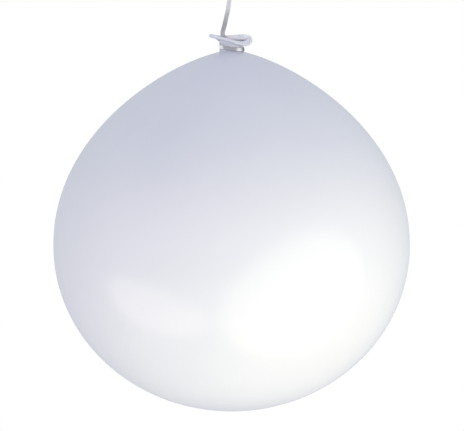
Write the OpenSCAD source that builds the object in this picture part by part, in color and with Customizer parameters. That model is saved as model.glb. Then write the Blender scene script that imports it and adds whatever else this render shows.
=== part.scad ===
// Latex balloon hanging neck up on a flat gift ribbon.
// Millimetres, +Z up. The origin is the inside top of the hanging loop, where a hook carries it.
// +X is to the right and +Y to the back, seen from the front.

/* [Balloon] */
// Widest diameter of the inflated skin
balloon_d = 400; // [300:5:460]
// Height from the widest ring up to where the dome's two sides would meet
dome_h = 220; // [180:5:260]
// Height from the widest ring down to the bottom
bowl_h = 186; // [150:2:230]
// Thickness of the skin
skin_t = 0.4; // [0.3:0.1:0.8]

/* [Neck] */
// Outer diameter of the neck over its stopper
neck_d = 27.6; // [26:0.2:29]
// Thickness of the unstretched latex in the neck and mouth
sleeve_t = 0.6; // [0.4:0.1:0.8]
// Height of the neck from the shoulder to the start of the loose mouth
neck_h = 9.2; // [9.2:0.2:10]
// Length of the flattened mouth, bead centre to bead centre
mouth_w = 45.4; // [42:0.2:48]
// Thickness of the rolled bead at the edge of the mouth
lip_d = 3.2; // [2:0.2:3.6]

/* [Clamp ring] */
// Height of the ring
ring_h = 4.2; // [3:0.2:4.2]
// Thickness of the ring's wall
ring_t = 0.6; // [0.4:0.1:1]
// Lean of the ring on the neck, right end down
ring_lean = 6.5; // [0:0.5:6.5]
// Tilt of the ring on the neck, front down
ring_tilt = 7; // [0:0.5:7]

/* [Stopper] */
// Thickness of the cup's wall and floor
stopper_t = 1.4; // [1:0.1:2]
// Distance from the cup's rim to the top of the neck
stopper_depth = 1.6; // [1.6:0.2:4]
// Diameter of the hole that the ribbon runs through
ribbon_hole_d = 5.6; // [5.4:0.1:6]

/* [Ribbon] */
// Width of the ribbon
ribbon_w = 5; // [4:0.5:5]
// Thickness of the ribbon
ribbon_t = 0.4; // [0.3:0.1:0.5]
// Diameter of the knot under the stopper
stop_knot_d = 7.2; // [6.6:0.2:8]
// Diameter of the knot under the hanging loop
loop_knot_d = 5.6; // [5:0.2:6]
// Inner width of the hanging loop
loop_w = 20; // [14:1:24]

/* [Hidden] */
$fn = 64;

latex = [0.88, 0.89, 0.94];
grey_ribbon = [0.74, 0.74, 0.75];
steel = [0.66, 0.67, 0.68];
clear_plastic = [0.93, 0.93, 0.92];

// Heights of the main stations, from the hook down.
loop_knot_z = -40;
shoulder_z = -119.4;
mouth_base_z = shoulder_z + neck_h;
ring_z = -114.9;
stopper_floor_z = -119.6;
clear = 0.3;

// Dome: (r / R)^(1 / dome_spread) + (h / dome_h)^dome_rise = 1.  Bowl: half an ellipse.
dome_rise = 2.07;
dome_spread = 0.7;
neck_r = neck_d / 2;
sleeve_r = neck_r - sleeve_t;
function dome_radius(h, r, top) = r * pow(1 - pow(h / top, dome_rise), dome_spread);
function dome_height(x, r, top) = top * pow(1 - pow(x / r, 1 / dome_spread), 1 / dome_rise);
shoulder_h = dome_height(neck_r, balloon_d / 2, dome_h);
equator_z = shoulder_z - shoulder_h;
profile_steps = 30;

// Half outline of the balloon from the neck to the bottom pole, for a skin inset by `inset`.
function outline(inset, end_r) =
    let (r = balloon_d / 2 - inset,
         top = dome_h - inset,
         low = bowl_h - inset,
         end_h = dome_height(end_r, r, top))
    concat(
        [[end_r, end_h]],
        [for (i = [1:profile_steps])
            let (h = end_h * cos(90 * i / profile_steps))
            [dome_radius(h, r, top), h]],
        [for (i = [1:profile_steps - 1])
            let (a = 90 * i / profile_steps)
            [r * cos(a), -low * sin(a)]],
        [[0, -low]]
    );

function backwards(list) = [for (i = [len(list) - 1:-1:0]) list[i]];

module envelope() {
    outer = outline(0, neck_r);
    inner = outline(skin_t, sleeve_r);
    color(latex)
        translate([0, 0, equator_z])
        rotate_extrude($fn = 120)
        polygon(concat(outer, backwards(inner), [[sleeve_r, shoulder_h]]));
}

module neck_sleeve() {
    color(latex)
        translate([0, 0, shoulder_z])
        rotate_extrude()
        translate([sleeve_r, 0])
        square([sleeve_t, neck_h]);
}

// The bead runs once round the flattened mouth, which flops forward: high along the back,
// drooping to the front right, and curled up and thicker where it folds at its left end.
// Depths are measured from the neck's axis towards the front.
lip_centre_x = -0.8;
lip_back_z = -102.7;
lip_back_low_x = -12;
lip_back_bow = 0.0029;
lip_left_bow = 0.015;
lip_left_swell = 0.3;
lip_back_depth = 4;
lip_front_depth = 16;
function lip_droop(c) = 5.8 + 8.9 * c + 4.4 * c * c;
function lip_bow(x) = (x < lip_back_low_x ? lip_left_bow : lip_back_bow) * pow(x - lip_back_low_x, 2);
function lip_point(a) =
    let (c = cos(a),
         s = sin(a),
         x = lip_centre_x + mouth_w / 2 * c,
         gape = (lip_front_depth - lip_back_depth) / 2,
         wrap = (lip_front_depth + lip_back_depth) / 2,
         back_z = lip_back_z + lip_bow(x),
         front = pow((1 - s) / 2, 1.5))
    [x, gape * s - wrap * s * s, back_z - lip_droop(c) * front];

// Closed surface over a list of rings that joins its last ring to its first.
module ring_tube(rings) {
    n = len(rings);
    m = len(rings[0]);
    polyhedron(
        points = [for (ring = rings) for (p = ring) p],
        faces = [for (i = [0:n - 1]) for (j = [0:m - 1])
            let (i2 = (i + 1) % n,
                 j2 = (j + 1) % m)
            for (f = [[i * m + j, i2 * m + j2, i2 * m + j], [i * m + j, i * m + j2, i2 * m + j2]])
            f]
    );
}

// Open sweep: the same surface with flat ends.
module open_sweep(rings) {
    n = len(rings);
    m = len(rings[0]);
    polyhedron(
        points = [for (ring = rings) for (p = ring) p],
        faces = concat(
            [[for (j = [m - 1:-1:0]) j]],
            [[for (j = [0:m - 1]) (n - 1) * m + j]],
            [for (i = [0:n - 2]) for (j = [0:m - 1])
                let (j2 = (j + 1) % m)
                for (f = [[i * m + j, (i + 1) * m + j2, (i + 1) * m + j],
                          [i * m + j, i * m + j2, (i + 1) * m + j2]])
                f]
        )
    );
}

// The skirt rises from the round neck and folds over to the flattened mouth. In front it flares
// out; behind, it lies forward over the neck and stands up again at the back lip.
skirt_steps = 8;
skirt_rise = 4;
skirt_turns = 48;
fold_lift = 2;
fold_reach = 7;
fold_height = 0.7;
function mix(a, b, share) = a + (b - a) * share;
function skirt_surface(a, t) =
    let (low = [neck_r * cos(a), neck_r * sin(a), mouth_base_z],
         high = lip_point(a),
         behind = max(0, sin(a)),
         share = behind * behind * (3 - 2 * behind),
         bend = [low[0], low[1], max(high[2] + 1, mouth_base_z + skirt_rise)],
         rise = mix(2 / 3 * (bend[2] - low[2]), fold_lift, share),
         fold = [high[0], high[1] - fold_reach, mouth_base_z + fold_height],
         first = low + [0, 0, rise],
         second = mix(mix(high, bend, 2 / 3), fold, share))
    pow(1 - t, 3) * low + 3 * t * pow(1 - t, 2) * first + 3 * t * t * (1 - t) * second + pow(t, 3) * high;
function skirt_outward(a, t) =
    unit(cross(skirt_surface(a + 1, t) - skirt_surface(a - 1, t),
               skirt_surface(a, t + 0.01) - skirt_surface(a, t - 0.01)));

module mouth_skirt() {
    levels = [for (i = [0:skirt_steps]) i / skirt_steps];
    color(latex)
        ring_tube([for (i = [0:skirt_turns - 1])
            let (a = 360 * i / skirt_turns)
            concat(
                [for (t = levels) skirt_surface(a, t)],
                [for (t = backwards(levels)) skirt_surface(a, t) - sleeve_t * skirt_outward(a, t)]
            )]);
}

function unit(v) = v / norm(v);

function lip_radius(a) =
    let (fold = min(1, max(0, -2 * cos(a) - 1)))
    lip_d / 2 * (1 + lip_left_swell * fold * fold * (3 - 2 * fold));

module rolled_lip() {
    step = 7.5;
    color(latex)
        ring_tube([for (a = [0:step:360 - step])
            let (along = unit(lip_point(a + 1) - lip_point(a - 1)),
                 side = unit(cross(along, [0, 0, 1])),
                 up = cross(side, along))
            [for (b = [0:36:324])
                lip_point(a) + lip_radius(a) * (cos(b) * side + sin(b) * up)]]);
}

module neck_stopper() {
    height = mouth_base_z - stopper_depth - stopper_floor_z;
    color(clear_plastic)
        translate([0, 0, stopper_floor_z])
        difference() {
            cylinder(r = sleeve_r, h = height);
            translate([0, 0, stopper_t])
                cylinder(r = sleeve_r - stopper_t, h = height);
            translate([0, 0, -1])
                cylinder(d = ribbon_hole_d, h = stopper_t + 2);
        }
}

// A straight-walled band round the neck between two leaning planes.
module clamp_ring() {
    slab = neck_d * 2;
    color(steel)
        translate([0, 0, ring_z])
        intersection() {
            difference() {
                cylinder(r = neck_r + ring_t, h = 4 * ring_h, center = true);
                cylinder(r = neck_r, h = 5 * ring_h, center = true);
            }
            rotate([ring_tilt, ring_lean, 0])
                cube([slab, slab, ring_h], center = true);
        }
}

module stop_knot() {
    color(grey_ribbon)
        translate([0, 0, stopper_floor_z - clear - stop_knot_d / 2])
        sphere(d = stop_knot_d);
}

// Route of the ribbon's centre line, from the stop knot up to the loop knot.
RIBBON_ROUTE = [
    [0, 0, -119.2],
    [-0.3, -0.4, -116.4],
    [-1, -1.4, -114],
    [-2.1, -2.8, -111.8],
    [-3.4, -4.3, -109.8],
    [-5, -5.8, -107.7],
    [-7, -7, -105.4],
    [-9, -7.9, -102.8],
    [-10, -8.2, -100],
    [-9.9, -8, -97.2],
    [-9.2, -7.7, -94.4],
    [-8, -7.1, -90],
    [-6.8, -6.3, -85],
    [-5.7, -5.4, -80],
    [-4.6, -4.7, -75],
    [-3.7, -4, -70.5],
    [-3.1, -3.3, -66],
    [-2.4, -2.6, -61.5],
    [-1.7, -1.8, -56],
    [-0.9, -0.9, -50],
    [-0.4, -0.3, -46],
    [0, 0, -43.2]
];

// Flat section with rounded edges, its width across the route and level with the front.
function ribbon_section(p, along) =
    let (wide = unit(cross(along, [0, 1, 0])),
         thick = cross(wide, along),
         w = ribbon_w / 2,
         t = ribbon_t / 2)
    [for (q = [[w, -t / 2], [w, t / 2], [w - t, t], [t - w, t], [-w, t / 2], [-w, -t / 2], [t - w, -t], [w - t, -t]])
        p + q[0] * wide + q[1] * thick];

module ribbon() {
    last = len(RIBBON_ROUTE) - 1;
    color(grey_ribbon)
        open_sweep([for (i = [0:last])
            ribbon_section(
                RIBBON_ROUTE[i],
                unit(RIBBON_ROUTE[min(i + 1, last)] - RIBBON_ROUTE[max(i - 1, 0)])
            )]);
}

module loop_knot() {
    color(grey_ribbon)
        translate([0, 0, loop_knot_z])
        sphere(d = loop_knot_d);
}

// Outline of a round loop that closes to a point below.
function teardrop(r, tip) =
    let (lean = asin(r / tip),
         steps = 20)
    concat(
        [[0, -tip]],
        [for (i = [0:steps])
            let (a = -lean + (180 + 2 * lean) * i / steps)
            [r * cos(a), r * sin(a)]]
    );

module hang_loop() {
    r = loop_w / 2;
    outer_tip = -loop_knot_z - r - loop_knot_d / 2 - clear;
    inner_tip = outer_tip * r / (r + ribbon_t);
    color(grey_ribbon)
        translate([0, 0, -r])
        rotate([90, 0, 0])
        linear_extrude(height = ribbon_w, center = true)
        difference() {
            polygon(teardrop(r + ribbon_t, outer_tip));
            polygon(teardrop(r, inner_tip));
        }
}

envelope();
neck_sleeve();
mouth_skirt();
rolled_lip();
neck_stopper();
clamp_ring();
stop_knot();
ribbon();
loop_knot();
hang_loop();
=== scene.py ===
# Latex balloon hanging neck up on a flat gift ribbon: the looks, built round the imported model.
# Metres, +Z up, the origin at the inside top of the hanging loop, seen from the front along +Y.
import math

import bmesh
import bpy
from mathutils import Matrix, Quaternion, Vector


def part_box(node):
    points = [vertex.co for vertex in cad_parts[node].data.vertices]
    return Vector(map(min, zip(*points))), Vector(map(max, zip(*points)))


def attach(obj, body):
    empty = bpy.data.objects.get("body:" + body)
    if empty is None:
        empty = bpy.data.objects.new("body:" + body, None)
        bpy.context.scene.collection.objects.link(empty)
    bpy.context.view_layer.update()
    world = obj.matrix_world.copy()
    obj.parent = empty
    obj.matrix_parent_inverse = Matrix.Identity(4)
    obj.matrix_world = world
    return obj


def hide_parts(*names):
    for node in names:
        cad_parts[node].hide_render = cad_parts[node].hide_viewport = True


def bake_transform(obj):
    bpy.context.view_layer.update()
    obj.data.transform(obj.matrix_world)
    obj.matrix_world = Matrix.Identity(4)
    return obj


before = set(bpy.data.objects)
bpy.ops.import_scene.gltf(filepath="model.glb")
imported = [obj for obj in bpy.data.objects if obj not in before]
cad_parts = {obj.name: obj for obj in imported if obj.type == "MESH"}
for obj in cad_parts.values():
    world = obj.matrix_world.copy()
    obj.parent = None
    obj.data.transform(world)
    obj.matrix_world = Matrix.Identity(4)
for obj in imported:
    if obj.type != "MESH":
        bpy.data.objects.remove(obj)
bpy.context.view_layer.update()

MM = 0.001
FRONT = Vector((0, 1, 0))
UP = Vector((0, 0, 1))


# ---------------------------------------------------------------- camera

IMAGE_SIZE = (464, 431)
VIEW_WIDTH = 0.5217
VIEW_TOP = -0.06105
VIEW_MIDDLE_X = 0.00045
LENS = 200.0
SENSOR = 36.0


def make_camera():
    """Straight on from the front, through a long lens; the view's top edge cuts the ribbon."""
    data = bpy.data.cameras.new("camera")
    data.lens = LENS
    data.sensor_width = SENSOR
    camera = bpy.data.objects.new("camera", data)
    view_height = VIEW_WIDTH * IMAGE_SIZE[1] / IMAGE_SIZE[0]
    distance = VIEW_WIDTH * LENS / SENSOR
    camera.location = (VIEW_MIDDLE_X, -distance, VIEW_TOP - view_height / 2)
    camera.rotation_euler = (math.radians(90), 0, 0)
    bpy.context.scene.collection.objects.link(camera)
    bpy.context.scene.camera = camera


make_camera()


# ---------------------------------------------------------------- mesh helpers


def skin(name, rings, joined=False, fans=None):
    """A smooth mesh over rings of points. joined: the last ring meets the first.
    fans: two points that close the ends; without them, open ends get flat caps."""
    across = len(rings[0])
    points = [p for ring in rings for p in ring]
    last = len(rings) if joined else len(rings) - 1
    faces = []
    for i in range(last):
        here = i * across
        there = (i + 1) % len(rings) * across
        for j in range(across):
            k = (j + 1) % across
            faces.append((here + j, here + k, there + k, there + j))
    if fans:
        for tip, start in zip(fans, (0, (len(rings) - 1) * across)):
            points.append(tip)
            faces += [(start + j, start + (j + 1) % across, len(points) - 1) for j in range(across)]
    elif not joined:
        faces.append(tuple(range(across)))
        faces.append(tuple(range(len(points) - across, len(points))))
    mesh = bpy.data.meshes.new(name)
    mesh.from_pydata([tuple(p) for p in points], [], faces)
    shape = bmesh.new()
    shape.from_mesh(mesh)
    bmesh.ops.recalc_face_normals(shape, faces=shape.faces)
    shape.to_mesh(mesh)
    shape.free()
    mesh.polygons.foreach_set("use_smooth", [True] * len(mesh.polygons))
    piece = bpy.data.objects.new(name, mesh)
    bpy.context.scene.collection.objects.link(piece)
    return piece


def smooth_path(points, steps):
    """Catmull-Rom curve through the points, with that many steps between two of them."""
    points = [Vector(p) for p in points]
    ends = [points[0] * 2 - points[1], *points, points[-1] * 2 - points[-2]]
    path = []
    for a, b, c, d in zip(ends, ends[1:], ends[2:], ends[3:]):
        for i in range(steps):
            t = i / steps
            path.append(
                0.5 * (2 * b + (c - a) * t + (2 * a - 5 * b + 4 * c - d) * t**2
                       + (3 * b - a - 3 * c + d) * t**3)
            )
    return [*path, points[-1]]


def smoothstep(low, high, x):
    t = min(1, max(0, (x - low) / (high - low)))
    return t * t * (3 - 2 * t)


# ---------------------------------------------------------------- ribbon, knots and loop

RIBBON_WIDTH = 5 * MM
RIBBON_THICKNESS = 0.36 * MM
RIBBON_CUP = 0.3 * MM
RIBBON_RIBS = 7
RIB_DEPTH = 0.07 * MM
ACROSS_STEPS = 28

# Near a knot the ribbon gathers to a share of its width, and its end runs on into the knot.
GATHER_LENGTH = 3.2 * MM
GATHER_SHARE = 0.34
KNOT_REACH = 1.6 * MM

LOOP_REACH = 1 * MM
LOOP_FEET_APART = 0.6 * MM
LOOP_ROUND = 36
LOOP_SIDE = 16

# The route of the CAD ribbon, from the stop knot up to the loop knot.
RIBBON_ROUTE = [
    (0, 0, -0.1192),
    (-0.0003, -0.0004, -0.1164),
    (-0.001, -0.0014, -0.114),
    (-0.0021, -0.0028, -0.1118),
    (-0.0034, -0.0043, -0.1098),
    (-0.005, -0.0058, -0.1077),
    (-0.007, -0.007, -0.1054),
    (-0.009, -0.0079, -0.1028),
    (-0.01, -0.0082, -0.1),
    (-0.0099, -0.008, -0.0972),
    (-0.0092, -0.0077, -0.0944),
    (-0.008, -0.0071, -0.09),
    (-0.0068, -0.0063, -0.085),
    (-0.0057, -0.0054, -0.08),
    (-0.0046, -0.0047, -0.075),
    (-0.0037, -0.004, -0.0705),
    (-0.0031, -0.0033, -0.066),
    (-0.0024, -0.0026, -0.0615),
    (-0.0017, -0.0018, -0.056),
    (-0.0009, -0.0009, -0.05),
    (-0.0004, -0.0003, -0.046),
    (0, 0, -0.0432),
]


def ribbon_section(centre, along, wide, width_share):
    """Closed outline of the flat ribbon: cupped a little, ribbed lengthwise, thin at its edges."""
    thick = wide.cross(along).normalized()
    half_width = RIBBON_WIDTH / 2 * width_share
    upper, lower = [], []
    for i in range(ACROSS_STEPS + 1):
        u = 2 * i / ACROSS_STEPS - 1
        rise = RIBBON_CUP * (u * u - 0.5) + RIB_DEPTH * math.cos(math.pi * RIBBON_RIBS * u)
        half = RIBBON_THICKNESS / 2 * (1 - 0.7 * u**8)
        place = centre + wide * (u * half_width) + thick * rise
        upper.append(place + thick * half)
        lower.append(place - thick * half)
    return upper + lower[::-1]


def sweep_ribbon(name, path, wide_of):
    """A ribbon along the path, gathered at both ends; wide_of gives the direction of its width."""
    travel = [0]
    for a, b in zip(path, path[1:]):
        travel.append(travel[-1] + (b - a).length)
    rings = []
    for i, centre in enumerate(path):
        along = (path[min(i + 1, len(path) - 1)] - path[max(i - 1, 0)]).normalized()
        to_knot = min(travel[i], travel[-1] - travel[i])
        width_share = GATHER_SHARE + (1 - GATHER_SHARE) * smoothstep(0, GATHER_LENGTH, to_knot)
        rings.append(ribbon_section(centre, along, wide_of(along), width_share))
    return skin(name, rings)


def run_into_knots(path):
    """The path with its first and last stretch carried on straight, into the knots."""
    start = path[0] + (path[0] - path[1]).normalized() * KNOT_REACH
    end = path[-1] + (path[-1] - path[-2]).normalized() * KNOT_REACH
    return [start, *path, end]


def knot(name, node, body):
    """An overhand knot pulled tight, in the space of the CAD knot: a trefoil of rounded ribbon."""
    low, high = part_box(node)
    centre = (low + high) / 2
    radius = (high.x - low.x) / 2
    strand = 0.36 * radius
    scale = (radius - strand) / 3
    stations, sides = 96, 14

    def trefoil(t):
        return Vector((
            math.sin(t) + 2 * math.sin(2 * t),
            -1.5 * math.sin(3 * t),
            math.cos(t) - 2 * math.cos(2 * t),
        )) * scale

    rings = []
    for i in range(stations):
        t = 2 * math.pi * i / stations
        along = (trefoil(t + 0.01) - trefoil(t - 0.01)).normalized()
        out = trefoil(t).normalized()
        side = along.cross(out).normalized()
        out = side.cross(along)
        ring = []
        for j in range(sides):
            b = 2 * math.pi * j / sides
            ribbed = 1 + 0.1 * math.cos(6 * b + 3 * t)
            flattened = 0.8 * math.cos(b) * out + 1.1 * math.sin(b) * side
            ring.append(centre + trefoil(t) + strand * ribbed * flattened)
        rings.append(ring)
    piece = skin(name, rings, joined=True)
    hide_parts(node)
    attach(piece, body)
    return piece


def make_loop():
    """The hanging loop: the ribbon runs up from its knot, over the hook and back down."""
    low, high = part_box("hang_loop")
    radius = (high.x - low.x) / 2 - RIBBON_THICKNESS / 2
    middle_z = high.z - (high.x - low.x) / 2
    knot_z = low.z - LOOP_REACH
    drop = middle_z - knot_z
    lean = math.asin(radius / drop)

    arc = []
    for i in range(LOOP_ROUND + 1):
        a = math.pi + lean - (math.pi + 2 * lean) * i / LOOP_ROUND
        arc.append(Vector((radius * math.cos(a), 0, middle_z + radius * math.sin(a))))
    foot_left = Vector((-LOOP_FEET_APART / 2, 0, knot_z))
    foot_right = Vector((LOOP_FEET_APART / 2, 0, knot_z))
    up_leg = [foot_left.lerp(arc[0], i / LOOP_SIDE) for i in range(LOOP_SIDE)]
    down_leg = [arc[-1].lerp(foot_right, (i + 1) / LOOP_SIDE) for i in range(LOOP_SIDE)]
    piece = sweep_ribbon("loop_ribbon", up_leg + arc + down_leg, lambda along: FRONT)
    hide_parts("hang_loop")
    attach(piece, "loop")
    return piece


def make_ribbon():
    """The free stretch of ribbon between the two knots."""
    path = smooth_path(RIBBON_ROUTE, 5)

    def wide_of(along):
        return along.cross(FRONT).normalized()

    piece = sweep_ribbon("ribbon_strip", run_into_knots(path), wide_of)
    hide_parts("ribbon")
    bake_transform(piece)
    return piece


stop_knot = knot("knot_under_stopper", "stop_knot", "lower_knot")
loop_knot = knot("knot_under_loop", "loop_knot", "upper_knot")
loop_ribbon = make_loop()
ribbon_strip = make_ribbon()


# ---------------------------------------------------------------- latex: envelope and neck

ENVELOPE_LOW, ENVELOPE_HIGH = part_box("envelope")
NECK_LOW, NECK_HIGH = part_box("neck_sleeve")
BALLOON_R = ENVELOPE_HIGH.x
BOWL_H = 0.186
DOME_H = 0.220
DOME_RISE = 2.07
DOME_SPREAD = 0.7
EQUATOR_Z = ENVELOPE_LOW.z + BOWL_H
NECK_R = NECK_HIGH.x
SHOULDER_Z = NECK_LOW.z
MOUTH_BASE_Z = NECK_HIGH.z
SKIN_T = 0.4 * MM
SLEEVE_T = 0.6 * MM
SHOULDER_ROUNDING = 1.2 * MM
PLEAT_DEPTH = 0.45 * MM
PLEAT_REACH = 14 * MM
LATEX_TURNS = 168


def pleats(a):
    """How deep the gathered latex folds in at this angle round the neck, 0 to 1, no two folds alike."""
    return 0.5 + 0.24 * math.sin(9 * a + 0.7) + 0.16 * math.sin(16 * a + 2.1) + 0.1 * math.sin(23 * a + 4.0)


def envelope_profile(inset):
    """(radius, height) pairs of the skin from the bottom up to the shoulder."""
    radius = BALLOON_R - inset
    low = BOWL_H - inset
    top = DOME_H - inset
    neck = NECK_R - (SLEEVE_T if inset else 0)
    shoulder = top * (1 - (neck / radius) ** (1 / DOME_SPREAD)) ** (1 / DOME_RISE)
    bowl_steps, dome_steps = 44, 72
    profile = []
    for i in range(1, bowl_steps):
        a = math.pi / 2 * (1 - i / bowl_steps)
        profile.append((radius * math.cos(a), EQUATOR_Z - low * math.sin(a)))
    for i in range(dome_steps + 1):
        h = shoulder * math.sin(math.pi / 2 * i / dome_steps)
        profile.append((radius * (1 - (h / top) ** DOME_RISE) ** DOME_SPREAD, EQUATOR_Z + h))
    return profile


def neck_profile(inset):
    """(radius, height) pairs from just above the shoulder to the start of the loose mouth."""
    steps = 10
    start = SHOULDER_Z + SHOULDER_ROUNDING
    return [(NECK_R - inset, start + (MOUTH_BASE_Z - start) * i / steps) for i in range(steps + 1)]


def latex_ring(radius, height):
    """One ring of the skin; the gathers fade with the distance from the neck."""
    away = max(0, radius - NECK_R) + max(0, SHOULDER_Z - height) * 0.5
    depth = PLEAT_DEPTH * math.exp(-((away / PLEAT_REACH) ** 2))
    edge = smoothstep(MOUTH_BASE_Z, MOUTH_BASE_Z - 2 * MM, height)
    ring = []
    for j in range(LATEX_TURNS):
        a = 2 * math.pi * j / LATEX_TURNS
        r = radius - depth * pleats(a) * edge
        ring.append(Vector((r * math.cos(a), r * math.sin(a), height)))
    return ring


def make_envelope():
    """The inflated skin with its neck: one closed shell with an outer and an inner wall."""
    outer = envelope_profile(0) + neck_profile(0)
    inner = envelope_profile(SKIN_T) + neck_profile(SLEEVE_T)
    rings = [latex_ring(r, z) for r, z in [*outer, *reversed(inner)]]
    bottom = EQUATOR_Z - BOWL_H
    piece = skin("balloon_skin", rings, fans=(Vector((0, 0, bottom)), Vector((0, 0, bottom + SKIN_T))))
    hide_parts("envelope", "neck_sleeve")
    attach(piece, "balloon")
    return piece


balloon_skin = make_envelope()


# ---------------------------------------------------------------- latex: loose mouth

# The bead's centre line, the CAD model's: high along the back, drooping to the front right,
# curled up and thicker where it folds at its left end. A bow times the squared distance from
# the back's lowest place is the rise, in metres.
MOUTH_WIDTH = 45.4 * MM
LIP_D = 3.2 * MM
LIP_CENTRE_X = -0.8 * MM
LIP_BACK_Z = -102.7 * MM
LIP_BACK_LOW_X = -12 * MM
LIP_BACK_BOW = 2.9
LIP_LEFT_BOW = 15
LIP_LEFT_SWELL = 0.3
LIP_BACK_DEPTH = 4 * MM
LIP_FRONT_DEPTH = 16 * MM
SKIRT_RISE = 4 * MM
BEND_ABOVE_LIP = 1 * MM
FOLD_LIFT = 2 * MM
FOLD_REACH = 7 * MM
FOLD_HEIGHT = 0.7 * MM
SKIRT_TURNS = 168
SKIRT_STEPS = 18
CREASE_DEPTH = 0.28 * MM

# The edge of the roll shows as a groove; its depth is a share of the bead's radius.
GROOVE_AT = math.radians(35)
GROOVE_WIDTH = 0.28
GROOVE_DEPTH = 0.14


def lip_point(a):
    """Centre of the rolled bead at an angle round the mouth, from the right end over the back."""
    c, s = math.cos(a), math.sin(a)
    x = LIP_CENTRE_X + MOUTH_WIDTH / 2 * c
    gape = (LIP_FRONT_DEPTH - LIP_BACK_DEPTH) / 2
    wrap = (LIP_FRONT_DEPTH + LIP_BACK_DEPTH) / 2
    bow = LIP_LEFT_BOW if x < LIP_BACK_LOW_X else LIP_BACK_BOW
    back_z = LIP_BACK_Z + bow * (x - LIP_BACK_LOW_X) ** 2
    droop = (5.8 + 8.9 * c + 4.4 * c * c) * MM
    front = ((1 - s) / 2) ** 1.5
    return Vector((x, gape * s - wrap * s * s, back_z - droop * front))


def skirt_point(a, t):
    """A point of the loose latex between the round neck (t = 0) and the bead (t = 1).
    In front it flares out; behind, it lies forward over the neck and stands up at the back lip."""
    low = Vector((NECK_R * math.cos(a), NECK_R * math.sin(a), MOUTH_BASE_Z))
    high = lip_point(a)
    behind = smoothstep(0, 1, math.sin(a))
    bend = Vector((low.x, low.y, max(high.z + BEND_ABOVE_LIP, MOUTH_BASE_Z + SKIRT_RISE)))
    fold = Vector((high.x, high.y - FOLD_REACH, MOUTH_BASE_Z + FOLD_HEIGHT))
    rise = (bend.z - low.z) * 2 / 3
    first = low + UP * (rise + (FOLD_LIFT - rise) * behind)
    second = high.lerp(bend, 2 / 3).lerp(fold, behind)
    return (
        (1 - t) ** 3 * low + 3 * t * (1 - t) ** 2 * first + 3 * t * t * (1 - t) * second + t**3 * high
    )


def skirt_outward(a, t):
    """The direction out of the skirt's outer face."""
    step = 0.02
    around = skirt_point(a + step, t) - skirt_point(a - step, t)
    upward = skirt_point(a, min(1, t + step)) - skirt_point(a, max(0, t - step))
    return around.cross(upward).normalized()


def creases(a, t):
    """Slanting folds of the slack latex, 0 at the neck and at the bead."""
    fade = smoothstep(0, 0.3, t) * smoothstep(1, 0.8, t)
    folds = 0.5 * math.sin(7 * a + 3.5 * t)
    folds += 0.3 * math.sin(13 * a - 4 * t + 1.3)
    folds += 0.2 * math.sin(21 * a + 2.2)
    return CREASE_DEPTH * fade * folds


def make_mouth():
    """The loose latex between the neck and the bead, one wall all round."""
    rings = []
    levels = [i / SKIRT_STEPS for i in range(SKIRT_STEPS + 1)]
    for j in range(SKIRT_TURNS):
        a = 2 * math.pi * j / SKIRT_TURNS
        outer = [skirt_point(a, t) + creases(a, t) * skirt_outward(a, t) for t in levels]
        inner = [p - SLEEVE_T * skirt_outward(a, t) for p, t in zip(outer, levels)]
        rings.append(outer + inner[::-1])
    piece = skin("mouth_skin", rings, joined=True)
    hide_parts("mouth_skirt")
    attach(piece, "balloon")
    return piece


def make_bead():
    """The rolled bead: a roll of latex with the spiral's edge showing as a groove along it."""
    rings = []
    stations, sides = 180, 24
    for i in range(stations):
        a = 2 * math.pi * i / stations
        along = (lip_point(a + 0.02) - lip_point(a - 0.02)).normalized()
        side = along.cross(UP).normalized()
        up = side.cross(along)
        thick = 1 + LIP_LEFT_SWELL * smoothstep(0.5, 1, -math.cos(a))
        swell = 1 + 0.04 * math.sin(3 * a + 1) + 0.025 * math.sin(8 * a) + 0.012 * math.sin(17 * a + 2)
        ring = []
        for j in range(sides):
            b = 2 * math.pi * j / sides
            off = math.atan2(math.sin(b - GROOVE_AT), math.cos(b - GROOVE_AT))
            groove = 1 - GROOVE_DEPTH * math.exp(-((off / GROOVE_WIDTH) ** 2))
            r = LIP_D / 2 * thick * swell * groove
            ring.append(lip_point(a) + r * (math.cos(b) * side + math.sin(b) * up))
        rings.append(ring)
    piece = skin("mouth_bead", rings, joined=True)
    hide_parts("rolled_lip")
    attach(piece, "balloon")
    return piece


mouth_skin = make_mouth()
mouth_bead = make_bead()


# ---------------------------------------------------------------- ring and stopper

RING_LEAN = math.radians(6.5)
RING_TILT = math.radians(7)
RING_WALL = 0.6 * MM
RING_EDGE = 0.28 * MM
# Where round the ring the dark stripe of painted shade sits, and how wide it is.
SHADE_STRIPE_ANGLE = math.radians(74)
SHADE_STRIPE_WIDTH = 0.9 * MM
TURNED_SIDES = 128


def rounded_corners(corners, radius, steps=6):
    """A closed outline with each corner rounded."""
    outline = []
    count = len(corners)
    for i, corner in enumerate(corners):
        before = (corners[i - 1] - corner).normalized() * radius
        after = (corners[(i + 1) % count] - corner).normalized() * radius
        for k in range(steps + 1):
            t = k / steps
            outline.append(corner + before * (1 - t) ** 2 + after * t * t)
    return outline


def turned(name, outline, drop_right=0.0, drop_front=0.0):
    """A closed outline of (radius, height) turned round the Z axis and sheared down to two sides."""
    rings = []
    for i in range(TURNED_SIDES):
        a = 2 * math.pi * i / TURNED_SIDES
        c, s = math.cos(a), math.sin(a)
        ring = []
        for p in outline:
            ring.append(Vector((p.x * c, p.x * s, p.y - drop_right * p.x * c + drop_front * p.x * s)))
        rings.append(ring)
    return skin(name, rings, joined=True)


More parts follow.
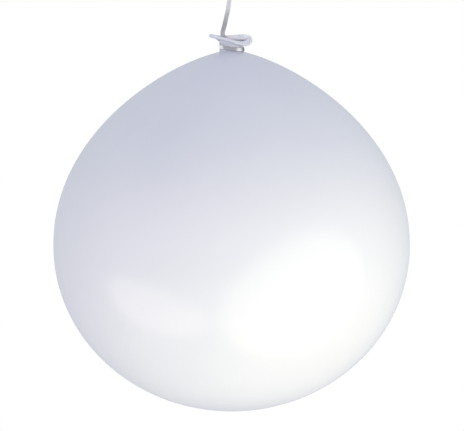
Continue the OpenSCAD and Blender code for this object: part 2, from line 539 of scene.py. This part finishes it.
def make_ring():
    """The polished clamp ring: a thin band with rounded rims, lower in front and on the right."""
    low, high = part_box("clamp_ring")
    outer = high.x
    middle = (low.z + high.z) / 2
    drop_right = math.tan(RING_LEAN)
    drop_front = math.tan(RING_TILT) / math.cos(RING_LEAN)
    half = (high.z - low.z) / 2 - math.hypot(drop_right, drop_front) * outer
    corners = [
        Vector((outer - RING_WALL, middle - half)),
        Vector((outer, middle - half)),
        Vector((outer, middle)),
        Vector((outer, middle + half)),
        Vector((outer - RING_WALL, middle + half)),
    ]
    piece = turned("ring_band", rounded_corners(corners, RING_EDGE), drop_right, drop_front)
    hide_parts("clamp_ring")
    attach(piece, "balloon")
    return piece


STOPPER_WALL = 1.4 * MM
STOPPER_EDGE = 0.5 * MM
RIBBON_HOLE_R = 2.8 * MM


def make_stopper():
    """The plastic cup in the neck, with a hole in its floor for the ribbon."""
    low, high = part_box("neck_stopper")
    outer = high.x
    floor_top = low.z + STOPPER_WALL
    corners = [
        Vector((RIBBON_HOLE_R, low.z)),
        Vector((outer, low.z)),
        Vector((outer, high.z)),
        Vector((outer - STOPPER_WALL, high.z)),
        Vector((outer - STOPPER_WALL, floor_top)),
        Vector((RIBBON_HOLE_R, floor_top)),
    ]
    piece = turned("stopper_cup", rounded_corners(corners, STOPPER_EDGE))
    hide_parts("neck_stopper")
    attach(piece, "balloon")
    return piece


ring_band = make_ring()
stopper_cup = make_stopper()


# ---------------------------------------------------------------- materials

# The sockets of a mix node that mixes colours.
MIX_SHARE, MIX_FIRST, MIX_SECOND, MIX_RESULT = 0, 6, 7, 2


class Paint:
    """A node material that is built up from short calls."""

    def __init__(self, name):
        self.material = bpy.data.materials.new(name)
        self.material.use_nodes = True
        self.nodes = self.material.node_tree.nodes
        self.links = self.material.node_tree.links
        self.shader = self.nodes["Principled BSDF"]
        self.place = self.nodes.new("ShaderNodeTexCoord").outputs["Object"]

    def set(self, **values):
        for name, value in values.items():
            self.shader.inputs[name.replace("_", " ")].default_value = value

    def join(self, source, target):
        self.links.new(source, target)

    def stretched(self, scale):
        node = self.nodes.new("ShaderNodeMapping")
        node.inputs["Scale"].default_value = scale
        self.join(self.place, node.inputs["Vector"])
        return node.outputs["Vector"]

    def noise(self, scale, detail=3.0, stretch=None):
        node = self.nodes.new("ShaderNodeTexNoise")
        node.inputs["Scale"].default_value = scale
        node.inputs["Detail"].default_value = detail
        self.join(self.stretched(stretch) if stretch else self.place, node.inputs["Vector"])
        return node.outputs["Fac"]

    def axis(self, name):
        node = self.nodes.new("ShaderNodeSeparateXYZ")
        self.join(self.place, node.inputs["Vector"])
        return node.outputs[name]

    def remap(self, value, low, high, to_low, to_high):
        node = self.nodes.new("ShaderNodeMapRange")
        for name, number in zip(("From Min", "From Max", "To Min", "To Max"), (low, high, to_low, to_high)):
            node.inputs[name].default_value = number
        self.join(value, node.inputs["Value"])
        return node.outputs["Result"]

    def ramp(self, value, stops):
        node = self.nodes.new("ShaderNodeValToRGB")
        node.color_ramp.interpolation = "EASE"
        elements = node.color_ramp.elements
        while len(elements) < len(stops):
            elements.new(0.5)
        for element, (position, colour) in zip(elements, stops):
            element.position = position
            element.color = (*colour, 1)
        self.join(value, node.inputs["Fac"])
        return node.outputs["Color"]

    def mix(self, share, a, b, kind="MIX"):
        node = self.nodes.new("ShaderNodeMix")
        node.data_type = "RGBA"
        node.blend_type = kind
        for source, number in ((share, MIX_SHARE), (a, MIX_FIRST), (b, MIX_SECOND)):
            socket = node.inputs[number]
            if isinstance(source, bpy.types.NodeSocket):
                self.join(source, socket)
            elif isinstance(source, tuple):
                socket.default_value = (*source, 1)
            else:
                socket.default_value = source
        return node.outputs[MIX_RESULT]

    def bump(self, height, depth, strength=1.0, after=None):
        node = self.nodes.new("ShaderNodeBump")
        node.inputs["Distance"].default_value = depth
        node.inputs["Strength"].default_value = strength
        self.join(height, node.inputs["Height"])
        if after is not None:
            self.join(after, node.inputs["Normal"])
        return node.outputs["Normal"]

    def colour(self, source):
        self.join(source, self.shader.inputs["Base Color"])

    def roughness(self, source):
        self.join(source, self.shader.inputs["Roughness"])

    def normal(self, source):
        self.join(source, self.shader.inputs["Normal"])


def latex_skin():
    """White latex blown up tight: satin; darker and more lilac towards the neck, partly thicker latex and
    partly painted shade, and a little darker at the tip.
    """
    paint = Paint("white_latex")
    height = paint.remap(paint.axis("Z"), ENVELOPE_LOW.z, SHOULDER_Z, 0, 1)
    # Darker and more lilac towards the neck: partly thicker latex, partly painted shade for the dimmer top.
    # A little darker at the very tip.
    tone = paint.ramp(height, [
        (0.0, (0.76, 0.77, 0.82)),
        (0.06, (0.83, 0.83, 0.86)),
        (0.55, (0.83, 0.83, 0.87)),
        (0.85, (0.77, 0.79, 0.85)),
        (1.0, (0.72, 0.74, 0.82)),
    ])
    clouds = paint.noise(9, detail=4, stretch=(1, 1, 0.55))
    tone = paint.mix(paint.remap(clouds, 0.35, 0.7, 0, 0.3), tone, (0.90, 0.90, 0.92))
    paint.colour(tone)
    paint.roughness(paint.remap(paint.noise(14, detail=5), 0.3, 0.7, 0.2, 0.26))
    powder = paint.bump(paint.noise(1400, detail=2), 0.02 * MM, 0.25)
    paint.normal(paint.bump(paint.noise(60, detail=3, stretch=(1, 1, 0.3)), 0.06 * MM, 0.3, after=powder))
    paint.set(IOR=1.5, Specular_IOR_Level=0.9, Sheen_Weight=0.06, Sheen_Roughness=0.5)
    return paint.material


def latex_neck():
    """The same latex unstretched: thicker, more lilac, softer, with fine wrinkles."""
    paint = Paint("slack_latex")
    patches = paint.noise(160, detail=3)
    tone = paint.ramp(patches, [
        (0.3, (0.70, 0.71, 0.77)),
        (0.5, (0.76, 0.77, 0.82)),
        (0.7, (0.82, 0.83, 0.87)),
    ])
    paint.colour(tone)
    paint.roughness(paint.remap(paint.noise(300, detail=3), 0.3, 0.7, 0.34, 0.5))
    fine = paint.bump(paint.noise(1800, detail=2), 0.03 * MM, 0.3)
    paint.normal(paint.bump(paint.noise(420, detail=3, stretch=(1, 1, 2.2)), 0.18 * MM, 0.4, after=fine))
    paint.set(IOR=1.5, Subsurface_Weight=0.3, Subsurface_Scale=1 * MM)
    paint.set(Sheen_Weight=0.06, Sheen_Roughness=0.5)
    return paint.material


def ring_metal():
    """Polished metal with faint marks from turning, and a dark stripe of painted shade at its right side.
    """
    paint = Paint("polished_metal")
    turning = paint.noise(500, detail=4, stretch=(0.15, 0.15, 6))
    tone = paint.ramp(turning, [(0.3, (0.38, 0.38, 0.39)), (0.7, (0.46, 0.46, 0.47))])
    # Painted shade: a dark stripe down the ring's right side, where no seam is modelled.
    shade_stripe_x = NECK_R * math.sin(SHADE_STRIPE_ANGLE)
    painted_shade_stripe = paint.ramp(paint.remap(paint.axis("X"), shade_stripe_x - SHADE_STRIPE_WIDTH, shade_stripe_x + SHADE_STRIPE_WIDTH, 0, 1), [
        (0.2, (0, 0, 0)),
        (0.5, (1, 1, 1)),
        (0.8, (0, 0, 0)),
    ])
    paint.colour(paint.mix(painted_shade_stripe, tone, (0.10, 0.10, 0.11)))
    paint.roughness(paint.remap(turning, 0.3, 0.7, 0.2, 0.3))
    paint.normal(paint.bump(turning, 0.02 * MM, 0.25))
    paint.set(Metallic=1.0)
    return paint.material


def ribbon_plastic():
    """Silver-grey curling ribbon, glossy along its ribs; its darker and lighter stretches along its height
    are painted reflections.
    """
    paint = Paint("grey_ribbon")
    height = paint.remap(paint.axis("Z"), RIBBON_ROUTE[7][2], RIBBON_ROUTE[-1][2], 0, 1)
    # Painted reflections and light: dark low down, near white towards the loop.
    tone = paint.ramp(height, [
        (0.02, (0.46, 0.46, 0.47)),
        (0.2, (0.33, 0.33, 0.34)),
        (0.38, (0.50, 0.50, 0.51)),
        (0.58, (0.76, 0.76, 0.77)),
        (0.85, (0.86, 0.86, 0.87)),
    ])
    streaks = paint.noise(900, detail=3, stretch=(1, 1, 0.08))
    tone = paint.mix(paint.remap(streaks, 0.35, 0.7, 0, 0.35), tone, (0.72, 0.72, 0.73))
    paint.colour(tone)
    paint.roughness(paint.remap(streaks, 0.3, 0.7, 0.24, 0.4))
    paint.normal(paint.bump(streaks, 0.03 * MM, 0.3))
    paint.set(IOR=1.5, Coat_Weight=0.2, Coat_Roughness=0.2)
    return paint.material


def stopper_plastic():
    """Milky moulded plastic."""
    paint = Paint("milky_plastic")
    cloud = paint.noise(220, detail=3)
    paint.colour(paint.ramp(cloud, [(0.3, (0.84, 0.84, 0.82)), (0.7, (0.92, 0.92, 0.90))]))
    paint.roughness(paint.remap(cloud, 0.3, 0.7, 0.38, 0.5))
    paint.normal(paint.bump(paint.noise(1500), 0.02 * MM, 0.25))
    paint.set(IOR=1.5, Subsurface_Weight=0.15, Subsurface_Scale=1 * MM)
    return paint.material


def paint_all():
    neck = latex_neck()
    ribbon = ribbon_plastic()
    looks = [
        (balloon_skin, latex_skin()),
        (mouth_skin, neck),
        (mouth_bead, neck),
        (ring_band, ring_metal()),
        (stopper_cup, stopper_plastic()),
        (ribbon_strip, ribbon),
        (loop_ribbon, ribbon),
        (stop_knot, ribbon),
        (loop_knot, ribbon),
    ]
    for piece, material in looks:
        piece.data.materials.append(material)


paint_all()


# ---------------------------------------------------------------- studio

FLOOR_Z = -2.0
FLOOR_R = 14.0
BALLOON_MIDDLE = Vector((0, 0, EQUATOR_Z))
RING_MIDDLE = (NECK_LOW + NECK_HIGH) / 2
FRONT_LIGHT = (0.85, 0.85, 0.94)
BACK_LIGHT = (0.58, 0.62, 0.66)
TOP_LIGHT = (0.64, 0.66, 0.74)


def make_floor():
    """A plain pale disc far below the balloon."""
    sides = 96
    rim = []
    for i in range(sides):
        a = 2 * math.pi * i / sides
        rim.append((FLOOR_R * math.cos(a), FLOOR_R * math.sin(a), FLOOR_Z))
    mesh = bpy.data.meshes.new("floor")
    mesh.from_pydata(rim, [], [tuple(range(sides))])
    floor = bpy.data.objects.new("floor", mesh)
    bpy.context.scene.collection.objects.link(floor)
    paint = Paint("pale_floor")
    paint.set(Base_Color=(0.86, 0.86, 0.87, 1), Roughness=0.8)
    mesh.materials.append(paint.material)


def softbox(name, azimuth, elevation, distance, size, power, colour, middle=BALLOON_MIDDLE, roll=0):
    """An oval area light that faces the middle. Azimuth 0 is at the camera, 90 to the right.
    roll turns its long side, right end up, as seen from behind it."""
    data = bpy.data.lights.new(name, "AREA")
    data.shape = "ELLIPSE"
    data.size, data.size_y = size
    data.energy = power
    data.color = colour
    light = bpy.data.objects.new(name, data)
    a, e = math.radians(azimuth), math.radians(elevation)
    way = Vector((math.sin(a) * math.cos(e), -math.cos(a) * math.cos(e), math.sin(e)))
    light.location = middle + way * distance
    facing = (-way).to_track_quat("-Z", "Y") @ Quaternion((0, 0, 1), math.radians(roll))
    light.rotation_euler = facing.to_euler()
    light.visible_camera = False
    bpy.context.scene.collection.objects.link(light)
    return light


def shine_only_on(pieces, lights):
    """Lets the lights shine on those pieces alone."""
    lit = bpy.data.collections.new("lit_alone")
    for piece in pieces:
        lit.objects.link(piece)
    for light in lights:
        light.light_linking.receiver_collection = lit


def make_lights():
    """A broad oval key light low on the right, a small one low on the left, and cards that
    give the ring its bright bands and fill the mouth."""
    softbox("key_right", 46, -33, 1.0, (1.95, 1.55), 8.0, (1, 0.99, 0.73), roll=40)
    softbox("low_left", -58, -38, 1.1, (1.3, 0.6), 1.8, (1, 0.95, 0.82), roll=-35)
    left_card = softbox("left_card", -120, 0, 0.6, (1.0, 0.4), 1.15, (1, 1, 1), RING_MIDDLE)
    right_card = softbox("right_card", 78, -6, 0.6, (0.66, 0.4), 0.75, (1, 1, 1), RING_MIDDLE)
    shine_only_on([ring_band], [left_card, right_card])
    mouth_card = softbox("mouth_card", 0, 4, 0.6, (0.5, 0.4), 0.5, (1, 0.98, 0.94), RING_MIDDLE)
    shine_only_on([mouth_skin, mouth_bead], [mouth_card])


def make_world():
    """Soft light from all round, dimmer behind and above; the camera itself sees plain white."""
    world = bpy.data.worlds.new("studio")
    bpy.context.scene.world = world
    world.use_nodes = True
    nodes, links = world.node_tree.nodes, world.node_tree.links
    nodes.clear()
    place = nodes.new("ShaderNodeTexCoord")
    parts = nodes.new("ShaderNodeSeparateXYZ")
    links.new(place.outputs["Generated"], parts.inputs["Vector"])

    def share(output, low, high):
        node = nodes.new("ShaderNodeMapRange")
        node.interpolation_type = "SMOOTHSTEP"
        node.inputs["From Min"].default_value = low
        node.inputs["From Max"].default_value = high
        links.new(parts.outputs[output], node.inputs["Value"])
        return node.outputs["Result"]

    def blend(amount, a, b):
        node = nodes.new("ShaderNodeMix")
        node.data_type = "RGBA"
        links.new(amount, node.inputs[MIX_SHARE])
        for source, socket in ((a, node.inputs[MIX_FIRST]), (b, node.inputs[MIX_SECOND])):
            if isinstance(source, tuple):
                socket.default_value = (*source, 1)
            else:
                links.new(source, socket)
        return node.outputs[MIX_RESULT]

    level = blend(share("Y", -0.5, 0.5), FRONT_LIGHT, BACK_LIGHT)
    level = blend(share("Z", 0.1, 0.9), level, TOP_LIGHT)
    soft = nodes.new("ShaderNodeBackground")
    links.new(level, soft.inputs["Color"])
    backdrop = nodes.new("ShaderNodeBackground")
    backdrop.inputs["Color"].default_value = (1, 1, 1, 1)
    ray = nodes.new("ShaderNodeLightPath")
    choose = nodes.new("ShaderNodeMixShader")
    links.new(ray.outputs["Is Camera Ray"], choose.inputs[0])
    links.new(soft.outputs[0], choose.inputs[1])
    links.new(backdrop.outputs[0], choose.inputs[2])
    output = nodes.new("ShaderNodeOutputWorld")
    links.new(choose.outputs[0], output.inputs["Surface"])


make_floor()
make_lights()
make_world()
bpy.context.scene.view_settings.view_transform = "Standard"
